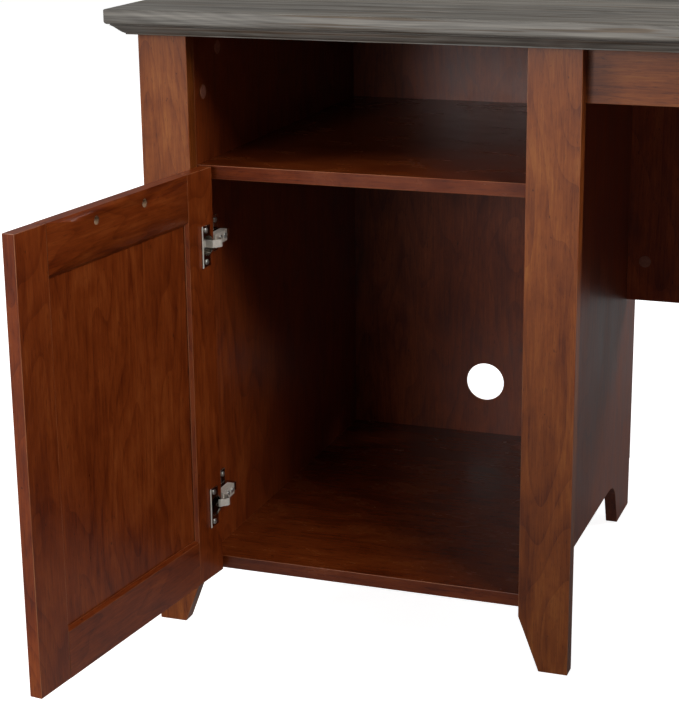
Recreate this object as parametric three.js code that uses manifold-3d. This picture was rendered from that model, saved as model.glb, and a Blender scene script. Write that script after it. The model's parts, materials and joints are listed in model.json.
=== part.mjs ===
// Corner desk: a storage pedestal with an open cubby and a door, a kneehole wing
// with apron rail and modesty panel, and a return wing that comes forward at the right.
// Millimetres, +Z up, X to the right, -Y towards the front.
import * as THREE from 'three';
import { mergeVertices } from 'three/addons/utils/BufferGeometryUtils.js';
import Module from 'manifold-3d';

const wasm = await Module();
wasm.setup();

// ---- driving dimensions -------------------------------------------------------
const DESK_WIDTH = 1524;            // across both wings, over the tops
const DESK_DEPTH = 1524;            // back edge to the front end of the return
const DESK_HEIGHT = 762;
const MAIN_DEPTH = 610;             // main top, front to back
const RETURN_WIDTH = 508;           // return top, side to side
const TOP_THICKNESS = 30;
const OVERHANG = 28.5;              // tops past the outer faces of the posts

const BOARD = 16;                   // side, shelf, bottom, apron and modesty boards
const BACK_BOARD = 3;               // thin board nailed on the rear edges
const POST_WIDTH = 60.5;
const POST_THICKNESS = 20;
const POST_FOOT_WIDTH = 35;         // the post's width on the floor
const POST_TAPER_HEIGHT = 67;
const FOOT_HEIGHT = 69.5;           // floor to the lower edge of the side panels
const REAR_FOOT_WIDTH = 77;
const REAR_FOOT_SLANT = 27;         // how much wider the rear foot is at its top
const REAR_FOOT_ROUND = 42;

const PEDESTAL_WIDTH = 523;         // over the posts
const PEDESTAL_DEPTH = 581;         // posts' front face to the back board's rear face
const BOTTOM_PANEL_Z = 70.5;
const SHELF_Z = 562.5;
const CABLE_HOLE_RADIUS = 28;
const CABLE_HOLE_Z = 165;

const MOULDING = {
  arris: 1,
  face: 13.5,                       // upright face below the arris
  bead: { width: 3.2, drop: 3.6 },  // quarter-round under the face
  quirk: { depth: 2.2, drop: 1.1 }, // narrow groove behind the bead
  ogee: { width: 14.4, drop: 10.4 },
};
const RETURN_JOINT_BLOCK = 60;      // main top's square front edge where the return meets it

const RAIL_HEIGHT = 61.5;
const MODESTY_SETBACK = 514;        // from the posts' front face
const MODESTY_BOTTOM = 324;

const DOOR_WIDTH = 390;
const DOOR_THICKNESS = 15;
const DOOR_BOTTOM = 71.5;
const DOOR_HEIGHT = 507;
const DOOR_FRAME = 59;              // width of the stiles and rails
const DOOR_PANEL_THICKNESS = 5;
const DOOR_PANEL_SETBACK = 5;       // from the door's front face
const DOOR_BEVEL = 4;               // sloped inner edge of the frame
const GROOVE_DEPTH = 8;
const DOOR_OPEN_DEG = 96.5;
const HANDLE = {
  centres: 96,
  drop: 15,                         // below the door's top edge
  reach: 25,                        // out from the door's face to the bar's middle line
  overrun: 12,                      // bar past each foot
  rise: 8,                          // how far the bar bows out
  sag: 8,                           // bar below its screws
  bar: [4, 5],                      // half width and half height
  foot: 4.5,
  footBend: 14,                     // how far out a foot starts to turn down
  tapped: 2.2,
};
const HANDLE_SCREW = { hole: 2.5, counterbore: 5, sink: 7, head: 4, headHeight: 2.2, shank: 1.9, reach: 10 };

const HINGE_HEIGHTS = { lower: 161.5, upper: 487.5 };
const HINGE_PIN = { x: 73.2, y: 6.8 };
const HINGE_PIN_RADIUS = 1;
const HINGE_PIN_HALF = 6.2;
const CUP = { inset: 15.5, radius: 12.7, depth: 11.5, wall: 0.8, rim: 0.6 };
const FLANGE = { inset: 10, width: 18, height: 49, thickness: 1.2, screwInset: 19, screwSpread: 19 };
const HINGE_SCREW_RADIUS = 1.8;
const ARM = { strip: 1.4, half: 4.6, eye: 1.8, elbow: 18.2, crank: 7.2, dip: 0.8 };
const CHANNEL = { from: 24, to: 60, solid: 6, low: 10, high: 19, half: 7, wall: 1.6, side: 1.4 };
const MOUNTING = {
  y: 63,                            // wing screws, back from the posts' front face
  wing: { half: 22, width: 13, thickness: 2.5, screw: 16, screwRadius: 2.1 },
  block: { ahead: 25, behind: 8, height: 17, half: 5.2 },
  armScrew: 9,                      // arm's fixing screw ahead of the wing screws
};

const CAM_SETBACK = 24;             // cam centre from the mating board
const POST_CAM_Z = 661;
const TOP_CAM_Y = 89;
const SHELF_CAM_Y = 300;
const MODESTY_CAM_MARGIN = 55;      // from the panel's upper and lower edges
const CAM_RADIUS = 7.2;
const CAM_DEPTH = 12.4;
const CAM_BOLT_RADIUS = 3;
const CAM_BOLT_REACH = 10;          // into the mating board
const FIT = 0.3;                    // clearance between neighbouring pieces

// ---- places that follow from them ---------------------------------------------
const TOP_UNDERSIDE = DESK_HEIGHT - TOP_THICKNESS;
const SIDE_INSET = POST_WIDTH - BOARD;
const PEDESTAL_RIGHT_FACE = PEDESTAL_WIDTH - SIDE_INSET;
const TOP_LEFT = -OVERHANG;
const TOP_FRONT = -OVERHANG;
const TOP_RIGHT = TOP_LEFT + DESK_WIDTH;
const TOP_BACK = TOP_FRONT + MAIN_DEPTH;
const RETURN_LEFT = TOP_RIGHT - RETURN_WIDTH;
const RETURN_FRONT = TOP_BACK - DESK_DEPTH;
const END_POST_RIGHT = TOP_RIGHT - OVERHANG;
const END_FACE = END_POST_RIGHT - POST_WIDTH;        // inner face of the right-hand boards
const RETURN_POST_LEFT = RETURN_LEFT + OVERHANG;
const RETURN_POST_FRONT = RETURN_FRONT + OVERHANG;
const RETURN_END_Y = RETURN_POST_FRONT + POST_THICKNESS;
const RETURN_RAIL_X = RETURN_POST_LEFT + POST_THICKNESS;
const SIDE_REAR = PEDESTAL_DEPTH - BACK_BOARD;
const RAIL_BOTTOM = TOP_UNDERSIDE - RAIL_HEIGHT;
const DOOR_LEFT = (PEDESTAL_WIDTH - DOOR_WIDTH) / 2;

// ---- materials ----------------------------------------------------------------
const finish = (color, roughness, metalness = 0) => () =>
  new THREE.MeshStandardMaterial({ color, roughness, metalness });
const cherry = finish(0x6b2a14, 0.38);
const hardboard = finish(0x5e2614, 0.5);
const driftwood = finish(0x6f665c, 0.55);
const nickel = finish(0xb9b7b0, 0.3, 1);
const zinc = finish(0x9a9a96, 0.45, 1);

// ---- solids -------------------------------------------------------------------
function solid(geometry) {
  const bare = geometry.clone();
  bare.deleteAttribute('normal');
  bare.deleteAttribute('uv');
  const merged = mergeVertices(bare, 1e-4);
  return new wasm.Manifold(new wasm.Mesh({
    numProp: 3,
    vertProperties: new Float32Array(merged.attributes.position.array),
    triVerts: new Uint32Array(merged.index.array),
  }));
}

function geometryOf(body) {
  const mesh = body.getMesh();
  const geometry = new THREE.BufferGeometry();
  geometry.setAttribute('position', new THREE.BufferAttribute(mesh.vertProperties, 3));
  geometry.setIndex(new THREE.BufferAttribute(mesh.triVerts, 1));
  const flat = geometry.toNonIndexed();
  flat.computeVertexNormals();
  return flat;
}

const joined = (...geometries) =>
  geometryOf(geometries.map(solid).reduce((whole, piece) => whole.add(piece)));
const cut = (geometry, cutters) =>
  geometryOf(cutters.map(solid).reduce((whole, cutter) => whole.subtract(cutter), solid(geometry)));
const common = (a, b) => geometryOf(solid(a).intersect(solid(b)));

function box([x0, x1], [y0, y1], [z0, z1]) {
  return new THREE.BoxGeometry(x1 - x0, y1 - y0, z1 - z0)
    .translate((x0 + x1) / 2, (y0 + y1) / 2, (z0 + z1) / 2);
}

// Extrudes an outline between two stations along an axis. The outline's two
// coordinates are the other two axes, in X, Y, Z order.
function prism(axis, [from, to], outline) {
  const shape = outline instanceof THREE.Shape
    ? outline : new THREE.Shape(outline.map(([a, b]) => new THREE.Vector2(a, b)));
  const options = { depth: to - from, bevelEnabled: false, curveSegments: 8 };
  const geometry = new THREE.ExtrudeGeometry(shape, options).translate(0, 0, from);
  const turn = new THREE.Matrix4();
  if (axis === 'x') turn.set(0, 0, 1, 0, 1, 0, 0, 0, 0, 1, 0, 0, 0, 0, 0, 1);
  if (axis === 'y') turn.set(1, 0, 0, 0, 0, 0, 1, 0, 0, 1, 0, 0, 0, 0, 0, 1);
  geometry.applyMatrix4(turn);
  return axis === 'y' ? flipped(geometry) : geometry;
}

// Swapping two axes turns a shape inside out, so its triangles are reversed.
function flipped(geometry) {
  const points = geometry.attributes.position.array;
  for (let first = 0; first < points.length; first += 9) {
    const second = points.slice(first + 3, first + 6);
    points.copyWithin(first + 3, first + 6, first + 9);
    points.set(second, first + 6);
  }
  geometry.computeVertexNormals();
  return geometry;
}

// A round bar or bore along an axis, from start to end, through the point at.
function rod(axis, [start, end], at, radius, sides = 16) {
  const geometry = new THREE.CylinderGeometry(radius, radius, end - start, sides);
  if (axis === 'x') geometry.rotateZ(-Math.PI / 2);
  if (axis === 'z') geometry.rotateX(Math.PI / 2);
  const middle = { x: at.x, y: at.y, z: at.z };
  middle[axis] = (start + end) / 2;
  return geometry.translate(middle.x, middle.y, middle.z);
}

// ---- the desk -----------------------------------------------------------------
const desk = new THREE.Group();
desk.position.set(
  -(TOP_LEFT + TOP_RIGHT) / 2,
  -(TOP_BACK + RETURN_FRONT) / 2,
  0,
);

function place(name, geometry, material, parent = desk) {
  const mesh = new THREE.Mesh(geometry, material());
  mesh.name = name;
  parent.add(mesh);
  return mesh;
}

// ---- cam locks: a drum in one board holds a bolt that stands in its neighbour ------
const DRUM_SIDES = 16;
const BOLT_SIDES = 8;
const camLocks = new Map();
const camCuts = new Map();

// The lock joins board to mate. Its drum opens at mouth, goes inward into the board
// along the axis that at leaves null, and its bolt runs along pull, towards the mate.
function camLock(name, board, mate, { at, mouth, inward, pull, towards }) {
  const ordered = (a, b) => (a < b ? [a, b] : [b, a]);
  const axis = ['x', 'y', 'z'].find((letter) => at[letter] === null);
  const centre = { ...at, [axis]: mouth + inward * BOARD / 2 };
  const tip = at[pull] + towards * (CAM_SETBACK + CAM_BOLT_REACH);
  const drumSpan = ordered(mouth, mouth + inward * CAM_DEPTH);
  const drum = rod(axis, drumSpan, centre, CAM_RADIUS, DRUM_SIDES);
  const bolt = rod(pull, ordered(at[pull], tip), centre, CAM_BOLT_RADIUS, BOLT_SIDES);
  camLocks.set(name, joined(drum, bolt));

  const wellSpan = ordered(mouth - inward, mouth + inward * (CAM_DEPTH + FIT));
  const boreSpan = ordered(at[pull], tip + towards * FIT);
  const well = rod(axis, wellSpan, centre, CAM_RADIUS + FIT, DRUM_SIDES);
  const bore = rod(pull, boreSpan, centre, CAM_BOLT_RADIUS + FIT, BOLT_SIDES);
  for (const [cutBoard, cutter] of [[board, bore], [board, well], [mate, bore]]) {
    camCuts.set(cutBoard, [...(camCuts.get(cutBoard) ?? []), cutter]);
  }
}

const boards = new Map();
const panel = (name, geometry, material = cherry) => boards.set(name, { geometry, material });

// ---- posts and side panels ----------------------------------------------------
// A front post is a flat board whose inner edge tapers in to a narrower foot.
function post(left, front, footSide) {
  const outer = footSide === 'left' ? left : left + POST_WIDTH;
  const inner = footSide === 'left' ? left + POST_WIDTH : left;
  const toe = outer + Math.sign(inner - outer) * POST_FOOT_WIDTH;
  const outline = [[outer, 0], [toe, 0], [inner, POST_TAPER_HEIGHT],
    [inner, TOP_UNDERSIDE], [outer, TOP_UNDERSIDE]];
  return prism('y', [front, front + POST_THICKNESS], outline);
}

// A side panel runs straight back from its post to a rear foot with a rounded hollow.
function sidePanel(left) {
  const toe = SIDE_REAR - REAR_FOOT_WIDTH;
  const crown = toe - REAR_FOOT_SLANT;
  const shape = new THREE.Shape();
  shape.moveTo(POST_THICKNESS, FOOT_HEIGHT);
  shape.lineTo(POST_THICKNESS, TOP_UNDERSIDE);
  shape.lineTo(SIDE_REAR, TOP_UNDERSIDE);
  shape.lineTo(SIDE_REAR, 0);
  shape.lineTo(toe, 0);
  const rise = REAR_FOOT_ROUND * 0.62;
  shape.lineTo(toe - REAR_FOOT_SLANT * (FOOT_HEIGHT - rise) / FOOT_HEIGHT, FOOT_HEIGHT - rise);
  shape.quadraticCurveTo(crown, FOOT_HEIGHT, crown - REAR_FOOT_ROUND, FOOT_HEIGHT);
  return prism('x', [left, left + BOARD], shape);
}

panel('front_post_left', post(0, 0, 'left'));
panel('front_post_right', post(PEDESTAL_WIDTH - POST_WIDTH, 0, 'right'));
panel('corner_post', post(END_POST_RIGHT - POST_WIDTH, 0, 'right'));
panel('return_post_left', post(RETURN_POST_LEFT, RETURN_POST_FRONT, 'left'));
panel('return_post_right', post(END_POST_RIGHT - POST_WIDTH, RETURN_POST_FRONT, 'right'));

// Each side panel takes one cam lock to its post and one up into the top.
const sides = [
  { name: 'pedestal_side_left', left: SIDE_INSET, mate: 'front_post_left', inward: -1 },
  { name: 'pedestal_side_right', left: PEDESTAL_RIGHT_FACE - BOARD, mate: 'front_post_right', inward: 1 },
  { name: 'corner_side_panel', left: END_FACE, mate: 'corner_post', inward: 1 },
];
for (const { name, left, mate, inward } of sides) {
  panel(name, sidePanel(left));
  const mouth = inward < 0 ? left + BOARD : left;
  camLock(`cam_lock_${mate}`, name, mate, {
    at: { x: null, y: POST_THICKNESS + CAM_SETBACK, z: POST_CAM_Z },
    mouth, inward, pull: 'y', towards: -1,
  });
  camLock(`cam_lock_${name}`, name, 'main_top', {
    at: { x: null, y: TOP_CAM_Y, z: TOP_UNDERSIDE - CAM_SETBACK },
    mouth, inward, pull: 'z', towards: 1,
  });
}

// ---- pedestal boards ----------------------------------------------------------
const cabinetX = [SIDE_INSET + BOARD, PEDESTAL_RIGHT_FACE - BOARD];
for (const [name, z] of [['bottom_panel', BOTTOM_PANEL_Z], ['fixed_shelf', SHELF_Z]]) {
  panel(name, box(cabinetX, [POST_THICKNESS, SIDE_REAR], [z, z + BOARD]));
  const ends = [['left', cabinetX[0] + CAM_SETBACK, -1], ['right', cabinetX[1] - CAM_SETBACK, 1]];
  for (const [end, x, towards] of ends) {
    camLock(`cam_lock_${name}_${end}`, name, `pedestal_side_${end}`, {
      at: { x, y: SHELF_CAM_Y, z: null }, mouth: z, inward: 1, pull: 'x', towards,
    });
  }
}
const cableHole = { x: PEDESTAL_WIDTH / 2, y: 0, z: CABLE_HOLE_Z };
const backPlate = box([SIDE_INSET, PEDESTAL_RIGHT_FACE], [SIDE_REAR, PEDESTAL_DEPTH],
  [FOOT_HEIGHT, TOP_UNDERSIDE]);
panel('pedestal_back', cut(backPlate, [
  rod('y', [SIDE_REAR - 1, PEDESTAL_DEPTH + 1], cableHole, CABLE_HOLE_RADIUS, 48),
]), hardboard);

// ---- kneehole rail, modesty panels and the return's boards ----------------------
const railZ = [RAIL_BOTTOM, TOP_UNDERSIDE];
const modestyZ = [MODESTY_BOTTOM, TOP_UNDERSIDE];
const kneeholeX = [PEDESTAL_RIGHT_FACE, END_FACE];
const returnY = [RETURN_END_Y + BOARD, 0];

panel('kneehole_rail', box(kneeholeX, [POST_THICKNESS, POST_THICKNESS + BOARD], railZ));
panel('modesty_panel', box(kneeholeX, [MODESTY_SETBACK, MODESTY_SETBACK + BOARD], modestyZ));
panel('return_rail', box([RETURN_RAIL_X, RETURN_RAIL_X + BOARD], [returnY[0], POST_THICKNESS], railZ));
panel('return_modesty_panel', box([END_FACE, END_FACE + BOARD], returnY, modestyZ));
panel('return_end_panel', box([RETURN_POST_LEFT + SIDE_INSET, END_FACE + BOARD],
  [RETURN_END_Y, RETURN_END_Y + BOARD], [FOOT_HEIGHT, TOP_UNDERSIDE]));

const wingEnds = [['left', 'pedestal_side_right', kneeholeX[0] + CAM_SETBACK, -1],
  ['right', 'corner_side_panel', kneeholeX[1] - CAM_SETBACK, 1]];
for (const [end, mate, x, towards] of wingEnds) {
  const heights = { lower: MODESTY_BOTTOM + MODESTY_CAM_MARGIN, upper: TOP_UNDERSIDE - MODESTY_CAM_MARGIN };
  for (const [level, z] of Object.entries(heights)) {
    camLock(`cam_lock_modesty_${end}_${level}`, 'modesty_panel', mate, {
      at: { x, y: null, z }, mouth: MODESTY_SETBACK, inward: 1, pull: 'x', towards,
    });
  }
  camLock(`cam_lock_rail_${end}`, 'kneehole_rail', mate, {
    at: { x, y: null, z: RAIL_BOTTOM + RAIL_HEIGHT / 2 },
    mouth: POST_THICKNESS + BOARD, inward: -1, pull: 'x', towards,
  });
}

// ---- tops ---------------------------------------------------------------------
// The edge moulding, as inset from the edge and drop below the top face: a small
// arris, an upright face, a bead, a quirk behind it and an ogee down to a fillet.
function mouldingPoints() {
  const { arris, face, bead, quirk, ogee } = MOULDING;
  const points = [[arris, 0], [0, arris], [0, face]];
  const beadSteps = 4;
  for (let i = 1; i <= beadSteps; i += 1) {
    const turn = (i / beadSteps) * Math.PI / 2;
    points.push([bead.width * (1 - Math.cos(turn)), face + bead.drop * Math.sin(turn)]);
  }
  const ogeeStart = [bead.width + 0.8, face + bead.drop + quirk.drop];
  points.push([bead.width + quirk.depth, face + bead.drop + 0.2]);
  points.push([bead.width + quirk.depth, ogeeStart[1] - 0.2]);
  points.push(ogeeStart);
  const ogeeSteps = 12;
  for (let i = 1; i <= ogeeSteps; i += 1) {
    const t = i / ogeeSteps;
    const wave = 3 * t * t - 2 * t * t * t;
    points.push([ogeeStart[0] + ogee.width * t, ogeeStart[1] + ogee.drop * (0.3 * t + 0.7 * wave)]);
  }
  points.push([ogeeStart[0] + ogee.width, TOP_THICKNESS]);
  return points;
}

// One cross-section of a top between two edges, each either moulded or square.
function topSection([low, high], mouldedLow, mouldedHigh) {
  const square = [[0, 0], [0, TOP_THICKNESS]];
  const near = (mouldedLow ? mouldingPoints() : square)
    .map(([inset, drop]) => [low + inset, DESK_HEIGHT - drop]);
  const far = (mouldedHigh ? mouldingPoints() : square)
    .map(([inset, drop]) => [high - inset, DESK_HEIGHT - drop]);
  return [...near, ...far.reverse()];
}

const frontAndBack = topSection([TOP_FRONT, TOP_BACK], true, false);
const leftAndRight = topSection([TOP_LEFT, TOP_RIGHT], true, true);
const returnSides = topSection([RETURN_LEFT, TOP_RIGHT], true, true);
const returnEnds = topSection([RETURN_FRONT, TOP_FRONT], true, false);

const mainSlab = common(
  prism('x', [TOP_LEFT, TOP_RIGHT], frontAndBack),
  prism('y', [TOP_FRONT, TOP_BACK], leftAndRight),
);
const jointBlock = prism('y', [TOP_FRONT, TOP_FRONT + RETURN_JOINT_BLOCK], returnSides);
panel('main_top', joined(mainSlab, jointBlock), driftwood);
panel('return_top', common(
  prism('x', [RETURN_LEFT, TOP_RIGHT], returnEnds),
  prism('y', [RETURN_FRONT, TOP_FRONT], returnSides),
), driftwood);

for (const [name, { geometry, material }] of boards) {
  place(name, camCuts.has(name) ? cut(geometry, camCuts.get(name)) : geometry, material);
}
for (const [name, geometry] of camLocks) place(name, geometry, zinc);

// ---- fixings under the tops ------------------------------------------------------
// Flat steel plates hold the return top to the main top across their joint.
const PLATE = { length: 110, width: 30, thickness: 2, shift: -20 };
const plateXs = [RETURN_LEFT + 110, RETURN_LEFT + 250, END_FACE - 60];
plateXs.forEach((x, i) => {
  const middle = TOP_FRONT + PLATE.shift;
  place(`joining_plate_${i + 1}`, box(
    [x - PLATE.width / 2, x + PLATE.width / 2],
    [middle - PLATE.length / 2, middle + PLATE.length / 2],
    [TOP_UNDERSIDE - PLATE.thickness, TOP_UNDERSIDE],
  ), zinc);
});

// An angle bracket has one leg on a board's face and one under the top.
const BRACKET = { leg: 22, width: 18, thickness: 2 };
function bracket({ axis, face, middle, out }) {
  const outline = [[0, 0], [0, -BRACKET.leg], [BRACKET.thickness, -BRACKET.leg],
    [BRACKET.thickness, -BRACKET.thickness], [BRACKET.leg, -BRACKET.thickness], [BRACKET.leg, 0]]
    .map(([away, down]) => [face + out * away, TOP_UNDERSIDE + down]);
  return prism(axis, [middle - BRACKET.width / 2, middle + BRACKET.width / 2], outline);
}
const brackets = {
  modesty_left: { axis: 'x', face: MODESTY_SETBACK, middle: 700, out: -1 },
  modesty_right: { axis: 'x', face: MODESTY_SETBACK, middle: 1180, out: -1 },
  kneehole_rail: { axis: 'x', face: POST_THICKNESS + BOARD, middle: 740, out: 1 },
  return_modesty_front: { axis: 'y', face: END_FACE, middle: -640, out: -1 },
  return_modesty_rear: { axis: 'y', face: END_FACE, middle: -260, out: -1 },
  return_rail: { axis: 'y', face: RETURN_RAIL_X + BOARD, middle: -450, out: 1 },
};
for (const [where, spot] of Object.entries(brackets)) {
  place(`top_bracket_${where}`, bracket(spot), zinc);
}

// ---- door, built shut and then turned about its hinge pins ----------------------
const doorPivot = new THREE.Group();
doorPivot.position.set(HINGE_PIN.x, HINGE_PIN.y, 0);
doorPivot.rotation.z = -DOOR_OPEN_DEG * Math.PI / 180;
desk.add(doorPivot);
const door = new THREE.Group();
door.position.set(-HINGE_PIN.x, -HINGE_PIN.y, 0);
doorPivot.add(door);

const doorRight = DOOR_LEFT + DOOR_WIDTH;
const doorTop = DOOR_BOTTOM + DOOR_HEIGHT;
const panelY = [DOOR_PANEL_SETBACK, DOOR_PANEL_SETBACK + DOOR_PANEL_THICKNESS];
const grooveY = [panelY[0] - FIT, panelY[1] + FIT];

// Half of the frame's section, from its outer edge at 0 to its grooved inner edge.
const grooveFloor = DOOR_FRAME - GROOVE_DEPTH;
const bevelDrop = DOOR_BEVEL - 0.5;
const frameSection = [[0, 0], [DOOR_FRAME - DOOR_BEVEL, 0], [DOOR_FRAME, bevelDrop],
  [DOOR_FRAME, grooveY[0]], [grooveFloor, grooveY[0]],
  [grooveFloor, grooveY[1]], [DOOR_FRAME, grooveY[1]],
  [DOOR_FRAME, DOOR_THICKNESS - bevelDrop],
  [DOOR_FRAME - DOOR_BEVEL, DOOR_THICKNESS], [0, DOOR_THICKNESS]];
const stileOutline = (edge, inward) => frameSection.map(([a, y]) => [edge + inward * a, y]);
const stiles = {
  door_stile_hinge: stileOutline(DOOR_LEFT, 1),
  door_stile_free: stileOutline(doorRight, -1),
};
const doorZ = [DOOR_BOTTOM, doorTop];
const stileSolid = (outline) => prism('z', doorZ, outline);

const PAST = 3;                     // how far a cutter runs past the face it opens
const cupAt = (z) => ({ x: DOOR_LEFT + CUP.inset, y: 0, z });
const flangeScrews = (z) => [-1, 1].map((side) => (
  { x: DOOR_LEFT + FLANGE.screwInset, y: 0, z: z + side * FLANGE.screwSpread }));
const flangeScrewHole = (span, at) => rod('y', span, at, HINGE_SCREW_RADIUS + FIT, 8);
const hingeCuts = Object.values(HINGE_HEIGHTS).flatMap((z) => [
  rod('y', [DOOR_THICKNESS - CUP.depth - FIT, DOOR_THICKNESS + PAST], cupAt(z), CUP.radius + FIT, 28),
  ...flangeScrews(z).map((at) => flangeScrewHole([DOOR_THICKNESS - 9, DOOR_THICKNESS + PAST], at)),
]);
place('door_stile_hinge', cut(stileSolid(stiles.door_stile_hinge), hingeCuts), cherry, door);
place('door_stile_free', stileSolid(stiles.door_stile_free), cherry, door);

// Rails are coped over the stiles' bevel and have a tongue in the stiles' groove.
const handleZ = doorTop - HANDLE.drop;
const handleSpots = [-1, 1].map((side) => (
  { x: PEDESTAL_WIDTH / 2 + side * HANDLE.centres / 2, y: 0, z: handleZ }));
const seatY = DOOR_THICKNESS - HANDLE_SCREW.sink;
const TONGUE_PLAY = 1;              // short of the groove's floor
function doorRail(edge, inward, holes) {
  const section = frameSection.map(([a, y]) => [y, edge + inward * a]);
  const reach = [DOOR_LEFT + DOOR_FRAME - DOOR_BEVEL, doorRight - DOOR_FRAME + DOOR_BEVEL];
  const copeCutters = Object.values(stiles).map((outline, i) => {
    const shift = i === 0 ? FIT : -FIT;
    return prism('z', [DOOR_BOTTOM - PAST, doorTop + PAST], outline.map(([x, y]) => [x + shift, y]));
  });
  const tongueX = [DOOR_LEFT + grooveFloor + TONGUE_PLAY, doorRight - grooveFloor - TONGUE_PLAY];
  const tongueZ = [edge, edge + inward * grooveFloor].sort((a, b) => a - b);
  const coped = cut(prism('x', reach, section), copeCutters);
  return cut(joined(coped, box(tongueX, panelY, tongueZ)), holes);
}
const handleHoles = handleSpots.flatMap((at) => [
  rod('y', [-PAST, DOOR_THICKNESS + PAST], at, HANDLE_SCREW.hole, 12),
  rod('y', [seatY, DOOR_THICKNESS + PAST], at, HANDLE_SCREW.counterbore, 20),
]);
place('door_rail_top', doorRail(doorTop, -1, handleHoles), cherry, door);
place('door_rail_bottom', doorRail(DOOR_BOTTOM, 1, []), cherry, door);
const panelInset = grooveFloor + TONGUE_PLAY;
place('door_panel', box([DOOR_LEFT + panelInset, doorRight - panelInset], panelY,
  [DOOR_BOTTOM + panelInset, doorTop - panelInset]), cherry, door);

// The pull is a bowed bar that hangs a little below its screws, on two curved feet.
const swept = (halfWidth, halfHeight, steps, ...pathPoints) => {
  const section = new THREE.Shape().absellipse(0, 0, halfWidth, halfHeight, 0, 2 * Math.PI);
  const extrudePath = new THREE.QuadraticBezierCurve3(
    ...pathPoints.map((point) => new THREE.Vector3(...point)));
  return new THREE.ExtrudeGeometry(section,
    { steps, extrudePath, bevelEnabled: false, curveSegments: 6 });
};
const barEnds = handleSpots.map(({ x }, i) => x + (i === 0 ? -1 : 1) * HANDLE.overrun);
const barY = -HANDLE.reach + HANDLE.rise / 2;
const barZ = handleZ - HANDLE.sag;
const bar = swept(...HANDLE.bar, 20, [barEnds[0], barY, barZ],
  [PEDESTAL_WIDTH / 2, barY - HANDLE.rise, barZ], [barEnds[1], barY, barZ]);
const handleFeet = handleSpots.map(({ x }) => swept(HANDLE.foot, HANDLE.foot, 8,
  [x, -FIT, handleZ], [x, -HANDLE.footBend, handleZ], [x, barY, barZ]));
const tappedHoles = handleSpots.map((at) => rod('y', [-HANDLE_SCREW.reach - 1, 1], at, HANDLE.tapped, 12));
place('door_handle', cut(joined(bar, ...handleFeet), tappedHoles), nickel, door);
handleSpots.forEach((at, i) => {
  const head = rod('y', [seatY + FIT, seatY + FIT + HANDLE_SCREW.headHeight], at, HANDLE_SCREW.head, 16);
  const shank = rod('y', [-HANDLE_SCREW.reach, seatY + 1], at, HANDLE_SCREW.shank, 12);
  place(`handle_screw_${i + 1}`, joined(head, shank), zinc, door);
});

// ---- concealed hinges: cup and flange in the door, gooseneck arm on the side ------
const cupMouth = DOOR_THICKNESS + FIT;
const flangeFace = cupMouth + FLANGE.thickness;
function hingeCup(z) {
  const inner = CUP.radius - CUP.wall;
  const profile = [[0, 0], [CUP.radius, 0], [CUP.radius, CUP.depth], [inner, CUP.depth],
    [inner, CUP.wall], [0, CUP.wall]].map(([r, h]) => new THREE.Vector2(r, h));
  const centre = cupAt(z);
  const shell = new THREE.LatheGeometry(profile, 28).translate(centre.x, cupMouth - CUP.depth, z);
  const flangeX = [DOOR_LEFT + FLANGE.inset, DOOR_LEFT + FLANGE.inset + FLANGE.width];
  const flange = box(flangeX, [cupMouth, flangeFace], [z - FLANGE.height / 2, z + FLANGE.height / 2]);
  const rim = rod('y', [cupMouth, flangeFace], centre, CUP.radius + CUP.rim, 28);
  const mouthHole = rod('y', [cupMouth - 1, flangeFace + PAST], centre, inner, 28);
  const screwHoles = flangeScrews(z).map((at) => flangeScrewHole([cupMouth - 1, flangeFace + PAST], at));
  const pinHole = rod('z', [z - HINGE_PIN_HALF - 0.2, z + HINGE_PIN_HALF + 0.2],
    { ...HINGE_PIN, z }, HINGE_PIN_RADIUS + FIT, 10);
  return cut(joined(shell, cut(joined(flange, rim), [mouthHole])), [...screwHoles, pinHole]);
}

// The outline of a strip of sheet whose middle line runs through the given points.
function stripOutline(points, thickness) {
  const middle = points.map(([x, y]) => new THREE.Vector2(x, y));
  const side = (half) => middle.map((point, i) => {
    const before = middle[Math.max(i - 1, 0)];
    const after = middle[Math.min(i + 1, middle.length - 1)];
    const along = after.clone().sub(before).normalize();
    return [point.x - along.y * half, point.y + along.x * half];
  });
  return [...side(-thickness / 2), ...side(thickness / 2).reverse()];
}

// The arm's strip leaves the pin inside the cup, cranks out clear of the door's edge
// and comes back to a channel that sits over the mounting plate.
const wall = SIDE_INSET + BOARD;
function hingeArm(z) {
  const { x, y } = HINGE_PIN;
  const elbow = x + ARM.elbow;
  const line = [[x, y], [elbow - ARM.crank, y - ARM.dip], [elbow, y + ARM.crank], [elbow, y + ARM.crank + 2.2],
    [elbow - 5.5, CHANNEL.from + 2], [wall + CHANNEL.high - 3, CHANNEL.from + 3]];
  const strip = prism('z', [z - ARM.half, z + ARM.half], stripOutline(line, ARM.strip));
  const eye = rod('z', [z - ARM.half, z + ARM.half], { x, y, z }, ARM.eye, 14);
  const channel = box([wall + CHANNEL.low, wall + CHANNEL.high], [CHANNEL.from, CHANNEL.to],
    [z - CHANNEL.half, z + CHANNEL.half]);
  const hollowHalf = CHANNEL.half - CHANNEL.side;
  const hollow = box([wall + CHANNEL.low - 2, wall + CHANNEL.high - CHANNEL.wall],
    [CHANNEL.from + CHANNEL.solid, CHANNEL.to + PAST], [z - hollowHalf, z + hollowHalf]);
  const pinBore = rod('z', [z - ARM.half - PAST, z + ARM.half + PAST], { x, y, z },
    HINGE_PIN_RADIUS + 0.05, 14);
  const screwHole = rod('x', [wall + CHANNEL.low, wall + CHANNEL.high + PAST],
    { x: 0, y: MOUNTING.y - MOUNTING.armScrew, z }, 2.4, 10);
  return cut(joined(strip, eye, cut(channel, [hollow])), [pinBore, screwHole]);
}

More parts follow.
